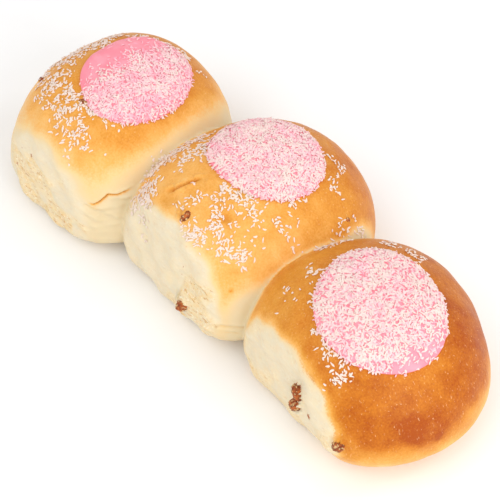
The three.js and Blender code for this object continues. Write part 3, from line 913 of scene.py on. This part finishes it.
def makeSultana(number, sultana, settings):
    row = math.radians(buns[sultana["bun"]]["turn"])
    onSide = "z" in sultana
    outwards = np.array([math.sin(row), -math.cos(row), 0] if onSide else [0, 0, 1.0])
    above = sultanaSpot(sultana) + settings["castFrom"] * outwards
    spots, normals = dropOn(doughTree, [above], -outwards)
    points, faces = unitBall(settings["detail"])
    strength, size, seed = settings["ridges"]
    power, level = settings["ridgeShape"]
    ridges = np.abs(lumps(points * settings["drawnOut"], size, seed + number)) ** power - level
    depth, size, seed = settings["dents"]
    dents = lumps(points, size, seed + number)
    points = points * (1 + settings["wrinkle"] * (strength * ridges + depth * dents))[:, None]
    points *= np.array([sultana["length"], sultana["width"], sultana["depth"]]) / 2
    turn = math.radians(sultana["turn"])
    c, s = math.cos(turn), math.sin(turn)
    points[:, :2] = points[:, :2] @ np.array([[c, s], [-s, c]])
    stand = np.array(Vector((0, 0, 1)).rotation_difference(Vector(normals[0])).to_matrix())
    middle = spots[0] - sultana["sunk"] * sultana["depth"] * normals[0]
    made = makeMesh(f"sultana{number}", points @ stand.T + middle, faces)
    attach(made, "root")
    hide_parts(f"sultana_{number}")
    return made


sultanaPieces = [makeSultana(i, sultana, sultanaSettings) for i, sultana in enumerate(sultanas, 1)]
print("sultanas set in:", len(sultanaPieces))


def paint(red, green, blue):
    # a screen colour of 0 to 255 as light values
    shares = red / 255, green / 255, blue / 255
    return (*(c / 12.92 if c < 0.0405 else ((c + 0.055) / 1.055) ** 2.4 for c in shares), 1)


class Wire:  # a value in a material, used as in a formula
    def __init__(self, finish, socket):
        self.finish = finish
        self.socket = socket

    def math(self, operation, *values):
        return self.finish.node("ShaderNodeMath", {"operation": operation}, dict(enumerate(values)))

    def __add__(self, other):
        return self.math("ADD", self, other)

    def __sub__(self, other):
        return self.math("SUBTRACT", self, other)

    def __rsub__(self, other):
        return self.math("SUBTRACT", other, self)

    def __mul__(self, other):
        return self.math("MULTIPLY", self, other)

    __radd__ = __add__
    __rmul__ = __mul__


class Finish:  # one material and the nodes in it
    def __init__(self, name):
        self.material = bpy.data.materials.new(name)
        self.material.use_nodes = True
        self.tree = self.material.node_tree
        self.tree.nodes.clear()

    def node(self, kind, settings=None, inputs=None, out=0):
        made = self.tree.nodes.new(kind)
        for name, value in (settings or {}).items():
            if name == "stops":
                stops = made.color_ramp.elements
                for place, colour in value[1:-1]:
                    stops.new(place)
                stops[0].position, stops[-1].position = value[0][0], value[-1][0]
                for stop, (place, colour) in zip(stops, value):
                    stop.color = colour
            else:
                setattr(made, name, value)
        for name, value in (inputs or {}).items():
            if isinstance(value, Wire):
                self.tree.links.new(value.socket, made.inputs[name])
            else:
                made.inputs[name].default_value = value
        return Wire(self, made.outputs[out]) if made.outputs else made

    def tag(self, name):
        return self.node("ShaderNodeAttribute", {"attribute_name": name}, out="Fac")

    def place(self):
        return self.node("ShaderNodeTexCoord", out="Object")

    def stretched(self, stretch):
        inputs = {0: self.place(), 1: stretch}
        return self.node("ShaderNodeVectorMath", {"operation": "MULTIPLY"}, inputs)

    def noise(self, size, detail=2.0, stretch=None, roughness=0.5):
        # size in mm, value from about 0.3 to 0.7
        place = self.stretched(stretch) if stretch else self.place()
        inputs = {"Vector": place, "Scale": 1 / (size * mm), "Detail": detail, "Roughness": roughness}
        return self.node("ShaderNodeTexNoise", {}, inputs)

    def uneven(self, size, detail, strength):
        return (self.noise(size, detail) - 0.5) * strength

    def ease(self, value, low, high):
        inputs = {"Value": value, "From Min": low, "From Max": high}
        return self.node("ShaderNodeMapRange", {"interpolation_type": "SMOOTHSTEP"}, inputs)

    def ramp(self, value, stops):
        painted = [(at, paint(*colour)) for at, colour in stops]
        return self.node("ShaderNodeValToRGB", {"stops": painted}, {"Fac": value})

    def mix(self, share, first, second):
        inputs = {0: share, 6: first, 7: second}
        return self.node("ShaderNodeMix", {"data_type": "RGBA"}, inputs, out=2)

    def surface(self, height, bumpDistance, **inputs):
        bump = {"Height": height, "Distance": bumpDistance * mm, "Strength": 1}
        named = {name.replace("_", " "): value for name, value in inputs.items()}
        named["Normal"] = self.node("ShaderNodeBump", {}, bump)
        shader = self.node("ShaderNodeBsdfPrincipled", {}, named)
        self.node("ShaderNodeOutputMaterial", {}, {"Surface": shader})
        return self.material


doughLook = {
    "crust": [
        (0.0, (225, 206, 168)),
        (0.2, (237, 202, 143)),
        (0.4, (238, 178, 96)),
        (0.6, (221, 150, 58)),
        (0.8, (201, 117, 28)),
        (1.0, (168, 76, 10)),
    ],
    "skinCrumb": (226, 213, 186),  # pulled smooth and a little grey
    "smoothCrumb": (234, 216, 180),
    "roughCrumb": (236, 207, 156),
    "speck": (198, 142, 82),
    "flake": (248, 238, 214),
    # colour of the pale blisters and of the painted sheen streaks
    "paleBlisterAndSheen": (250, 216, 164),
    "stain": (168, 92, 44),
    # unevenness of the bake: size in mm, detail and strength
    "mottle": (6, 3, 0.16),
    "smallMottle": (2, 2, 0.12),
    "fineMottle": 0.26,
    # strength of the pale blisters and painted sheen streaks
    "paleBlistersAndSheen": 0.35,  # strength
    "specks": 0.7,
    "flakes": 0.6,
    # share that smooth crumb has of what rough crumb has
    "smoothTufts": 0.2,
    "smoothSpecks": 0.15,
    "smoothFlakes": 0.25,
    "tuftBump": 1.2,
    "fibreBump": 0.7,
    "fineBump": 0.16,
    "wideBump": 0.2,
    "crustRoughness": 0.42,
    "crumbRoughness": 0.44,  # more than the crust's
}


def doughFinish(look):
    finish = Finish("bakedDough")
    torn, rough, bake = finish.tag("torn"), finish.tag("rough"), finish.tag("bake")
    coarse = finish.ease(rough, 0.0, 0.7)

    def onCoarse(least):
        return least + (1 - least) * coarse

    # crust: a ramp of browns, broken up by mottling, small pale blisters and pale streaks of painted sheen
    fine = finish.noise(0.8, 2)
    mottle = finish.uneven(*look["mottle"]) + finish.uneven(*look["smallMottle"])
    mottle = mottle + (fine - 0.5) * look["fineMottle"]
    crust = finish.ramp(bake + mottle * finish.ease(bake, 0.02, 0.35), look["crust"])
    # pale streaks down the crust: partly pale blisters, partly a painted sheen
    streaks = finish.ease(finish.noise(0.9, 2, stretch=(1.1, 1.1, 0.3)), 0.62, 0.76)
    paleBlistersAndSheen = streaks * finish.ease(bake, 0.3, 0.7) * look["paleBlistersAndSheen"]
    crust = finish.mix(paleBlistersAndSheen, crust, paint(*look["paleBlisterAndSheen"]))

    # crumb: drawn out along the row, in tufts with darker specks and pale flakes
    fibre = finish.noise(1.0, 3, stretch=(0.35, 1, 1), roughness=0.6)
    tufts = finish.noise(2.4, 4, stretch=(0.6, 1, 1), roughness=0.65)
    skin = finish.ease(rough + finish.uneven(7, 3, 0.9), -0.1, 0.35)
    smooth = finish.mix(skin, paint(*look["skinCrumb"]), paint(*look["smoothCrumb"]))
    tufted = onCoarse(look["smoothTufts"]) * finish.ease(tufts, 0.38, 0.66)
    crumb = finish.mix(tufted, smooth, paint(*look["roughCrumb"]))
    specks = finish.ease(fibre, 0.55, 0.68) * onCoarse(look["smoothSpecks"])
    crumb = finish.mix(specks * look["specks"], crumb, paint(*look["speck"]))
    flakes = finish.ease(finish.noise(1.1, 2), 0.58, 0.68) * onCoarse(look["smoothFlakes"])
    crumb = finish.mix(flakes * look["flakes"], crumb, paint(*look["flake"]))
    stains = finish.ease(bake + (fine - 0.5) * 0.5, 0.25, 0.45)
    crumb = finish.mix(stains, crumb, paint(*look["stain"]))

    pile = tufts * look["tuftBump"] + fibre * look["fibreBump"]
    grain = fine * look["fineBump"] + finish.noise(3, 2) * look["wideBump"]
    return finish.surface(
        height=torn * onCoarse(look["smoothTufts"]) * pile + (1 - torn) * grain,
        bumpDistance=0.7,
        Base_Color=finish.mix(torn, crust, crumb),
        Roughness=torn * look["crumbRoughness"] + look["crustRoughness"] + finish.uneven(4, 2, 0.16),
        Specular_IOR_Level=0.17,
        Subsurface_Weight=0.1,
        Subsurface_Radius=(1.0, 0.6, 0.35),
        Subsurface_Scale=2 * mm,
    )


icingLook = {"deep": (248, 142, 158), "light": (250, 158, 172), "roughness": 0.4}


def icingFinish(look):
    finish = Finish("pinkIcing")
    tint = finish.ease(finish.noise(7, 2), 0.35, 0.65)
    return finish.surface(
        height=finish.noise(1.2, 3),
        bumpDistance=0.2,
        Base_Color=finish.mix(tint, paint(*look["deep"]), paint(*look["light"])),
        Roughness=look["roughness"] + finish.noise(2, 2) * 0.15,
        Specular_IOR_Level=0.3,
    )


coconutLook = {
    # the pinker tones also serve as painted shade for shreds deep in the layer
    "tones": [  # from stray shreds to those stained by the icing
        (0.0, (235, 218, 204)),
        (0.12, (238, 217, 208)),
        (0.3, (243, 211, 210)),
        (0.65, (245, 188, 198)),
        (1.0, (248, 166, 183)),
    ],
    "uneven": (0.8, 1, 0.12),
    "roughness": 0.6,
}


def coconutFinish(look):
    finish = Finish("coconut")
    tone = finish.tag("tone")
    return finish.surface(
        height=finish.noise(0.5, 2),
        bumpDistance=0.05,
        Base_Color=finish.ramp(tone + finish.uneven(*look["uneven"]), look["tones"]),
        Roughness=look["roughness"] + tone * 0.05,
        Specular_IOR_Level=0.3,
    )


sultanaLook = {"dark": (122, 54, 18), "light": (196, 104, 42), "crumb": (222, 186, 132), "crumbs": 0.9}


def sultanaFinish(look):
    finish = Finish("sultanaSkin")
    patches = finish.ease(finish.noise(1.4, 3), 0.35, 0.7)
    skin = finish.mix(patches, paint(*look["dark"]), paint(*look["light"]))
    crumbs = finish.ease(finish.noise(1.2, 3), 0.54, 0.61)  # crumbs that stick to it
    return finish.surface(
        height=finish.noise(0.6, 3) + crumbs * 0.6,
        bumpDistance=0.25,
        Base_Color=finish.mix(crumbs * look["crumbs"], skin, paint(*look["crumb"])),
        Roughness=0.45 + crumbs * 0.4,
        Specular_IOR_Level=0.3,
    )


def dress(pieces, material):
    for piece in pieces:
        piece.data.materials.append(material)


dress([dough], doughFinish(doughLook))
dress(icingDiscs, icingFinish(icingLook))
dress(icingCoconut + [strayCoconut], coconutFinish(coconutLook))
dress(sultanaPieces, sultanaFinish(sultanaLook))
print("finishes made")


stageSettings = {
    "reach": 6000,
    "floor": ((250, 250, 250), (246, 246, 246)),
    "sky": 0.77,
    # place in mm, size in mm, watts
    "lamps": {
        "key": ((-60, -750, 950), 1000, 4.4),
        "fill": ((850, -60, 520), 700, 4.2),
        "back": ((450, 650, 700), 300, 1.2),
    },
}


def makeFloor(settings):
    reach = settings["reach"]
    corners = [(-reach, -reach, 0), (reach, -reach, 0), (reach, reach, 0), (-reach, reach, 0)]
    floor = makeMesh("floor", corners, [(0, 1, 2, 3)], smooth=False)
    finish = Finish("paleFloor")
    grain = finish.noise(30, 2)
    light, dark = settings["floor"]
    dress([floor], finish.surface(
        height=grain,
        bumpDistance=0.05,
        Base_Color=finish.mix(grain, paint(*light), paint(*dark)),
        Roughness=0.8,
    ))


def makeLight(settings):
    world = bpy.data.worlds.new("studio")
    world.use_nodes = True
    background = world.node_tree.nodes["Background"]
    background.inputs["Color"].default_value = (1, 1, 1, 1)
    background.inputs["Strength"].default_value = settings["sky"]
    bpy.context.scene.world = world
    for name, (spot, size, watts) in settings["lamps"].items():
        data = bpy.data.lights.new(name, "AREA")
        data.size = size * mm
        data.energy = watts
        lamp = bpy.data.objects.new(name, data)
        lamp.location = Vector(spot) * mm
        lamp.rotation_euler = Vector(spot).to_track_quat("Z", "Y").to_euler()
        bpy.context.collection.objects.link(lamp)
    bpy.context.scene.view_settings.view_transform = "Standard"


makeFloor(stageSettings)
makeLight(stageSettings)
print("floor and light made")
